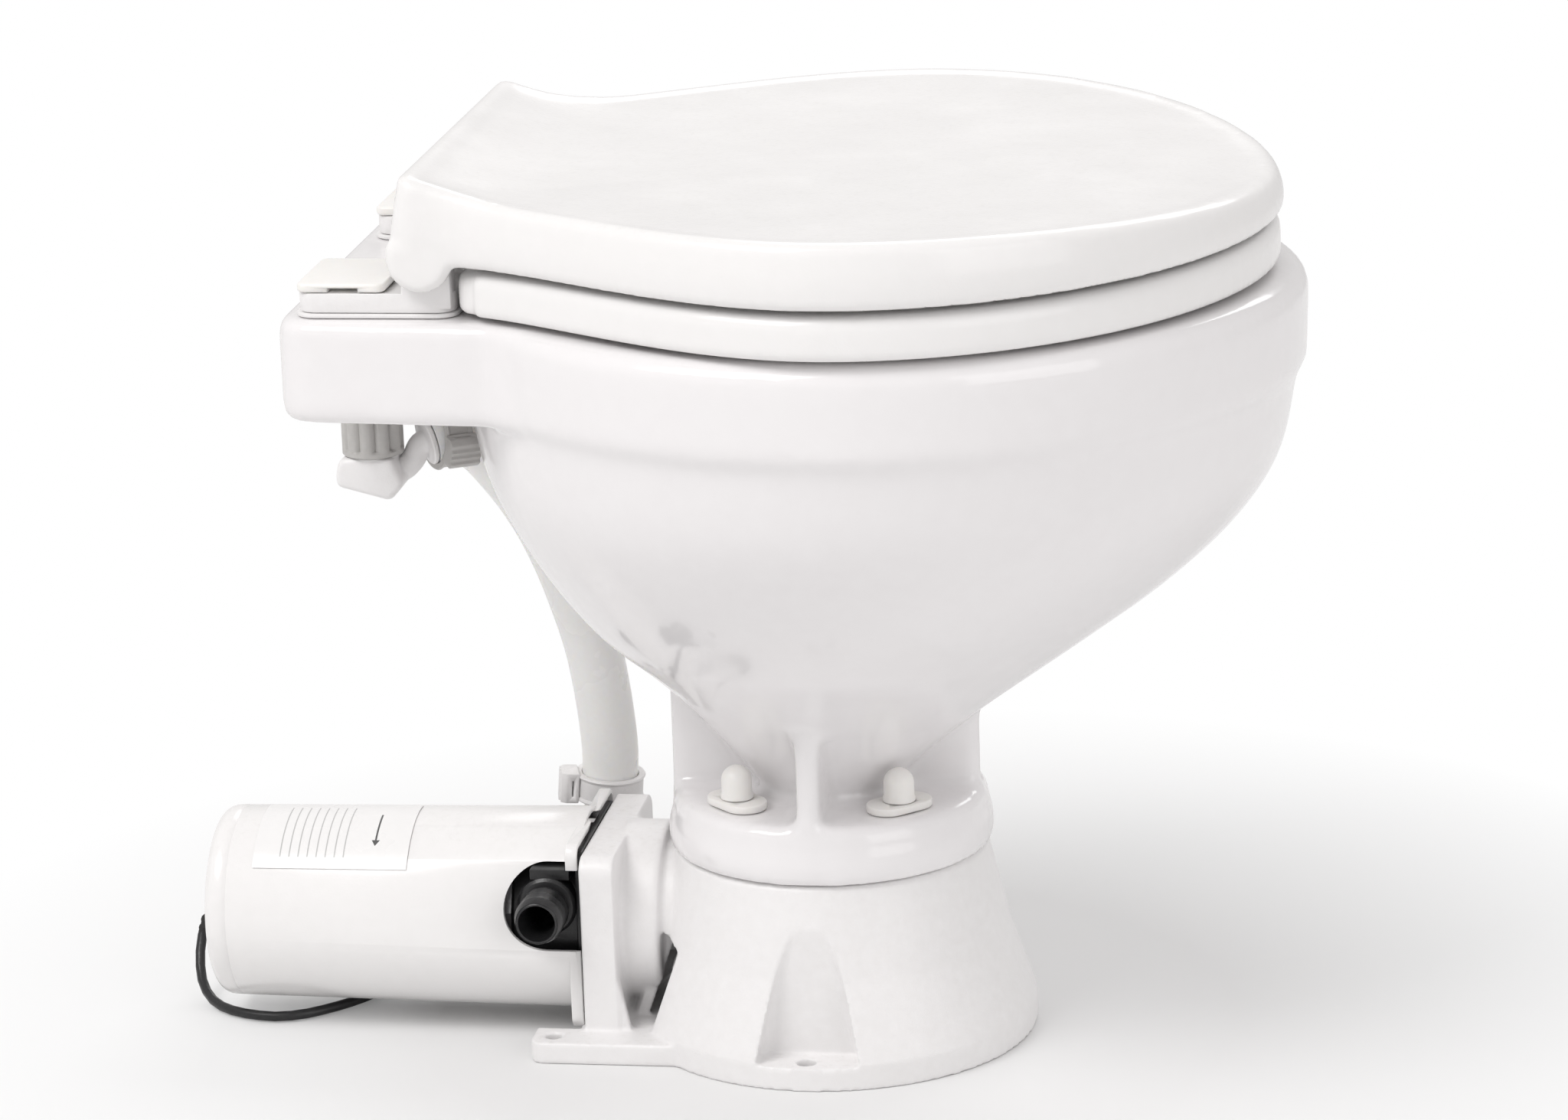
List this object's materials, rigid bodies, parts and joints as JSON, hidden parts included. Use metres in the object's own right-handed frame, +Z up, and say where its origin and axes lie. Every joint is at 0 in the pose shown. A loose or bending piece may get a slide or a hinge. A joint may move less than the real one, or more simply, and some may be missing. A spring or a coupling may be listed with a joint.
{
  "type": "electric marine toilet",
  "caption": "Compact marine toilet: glazed bowl with hinged seat and lid on a moulded base with a macerator pump, motor under a cover, flush hose and supply lead.",
  "frame": {"origin": "on the floor under the centre of the bowl's outlet", "axes": "+X to the front of the bowl, +Z up, the motor lies towards -X, and the flushing inlet is on the -Y side"},
  "size_m": [0.4579, 0.338, 0.3642],
  "materials": {
    "china": "glazed vitreous china, glossy white",
    "gloss_white": "glossy moulded white",
    "satin_white": "satin moulded white",
    "ivory": "ivory white",
    "hose_ivory": "pale ivory vinyl",
    "grey": "grey moulded",
    "black": "black moulded",
    "black_rubber": "matt black rubber",
    "steel": "stainless steel",
    "label": "thin printed film"
  },
  "bodies": {
    "toilet": {"base_housing": "satin_white", "bowl": "china", "bowl_seal": "black_rubber", "bowl_bolt_1": "steel", "bowl_bolt_2": "steel", "bowl_bolt_3": "steel", "bowl_bolt_4": "steel", "bowl_washer_1": "ivory", "bowl_washer_2": "ivory", "bowl_washer_3": "ivory", "bowl_washer_4": "ivory", "bowl_cap_nut_1": "ivory", "bowl_cap_nut_2": "ivory", "bowl_cap_nut_3": "ivory", "bowl_cap_nut_4": "ivory", "cutter_plate": "steel", "shaft_seal": "black_rubber", "pump_backplate": "black", "discharge_elbow": "grey", "joker_valve": "black_rubber", "flush_pump_body": "black", "motor_can": "steel", "motor_cover": "satin_white", "rating_label": "label", "cord_grommet": "black_rubber", "flush_outlet_elbow": "satin_white", "flush_hose": "hose_ivory", "hose_clip_lower": "satin_white", "hose_clip_upper": "grey", "inlet_elbow": "satin_white", "inlet_union_nut": "grey", "seat": "gloss_white", "hinge_gasket_far": "ivory", "hinge_block_far": "satin_white", "hinge_cap_far": "ivory", "hinge_bolt_far": "steel", "hinge_nut_far": "grey", "hinge_pin_far": "steel", "hinge_gasket_near": "ivory", "hinge_block_near": "satin_white", "hinge_cap_near": "ivory", "hinge_bolt_near": "steel", "hinge_nut_near": "grey", "hinge_pin_near": "steel", "seat_bumper_1": "black_rubber", "seat_bumper_2": "black_rubber", "seat_bumper_3": "black_rubber", "seat_bumper_4": "black_rubber", "supply_cord": "black", "supply_cord_coil": "black", "supply_connector": "black"},
    "lid": {"lid": "gloss_white"},
    "rotor": {"motor_shaft": "steel", "motor_armature": "steel", "flush_impeller": "black", "discharge_impeller": "black", "chopper_blade": "steel"}
  },
  "joints": [
    {"name": "lid_hinge", "type": "hinge", "parent": "toilet", "child": "lid", "pos_m": [-0.133, 0, 0.3315], "axis": [0, -1, 0], "range_deg": [0, 90]},
    {"name": "motor_spin", "type": "hinge", "parent": "toilet", "child": "rotor", "pos_m": [-0.1, 0, 0.045], "axis": [-1, 0, 0], "continuous": true}
  ]
}
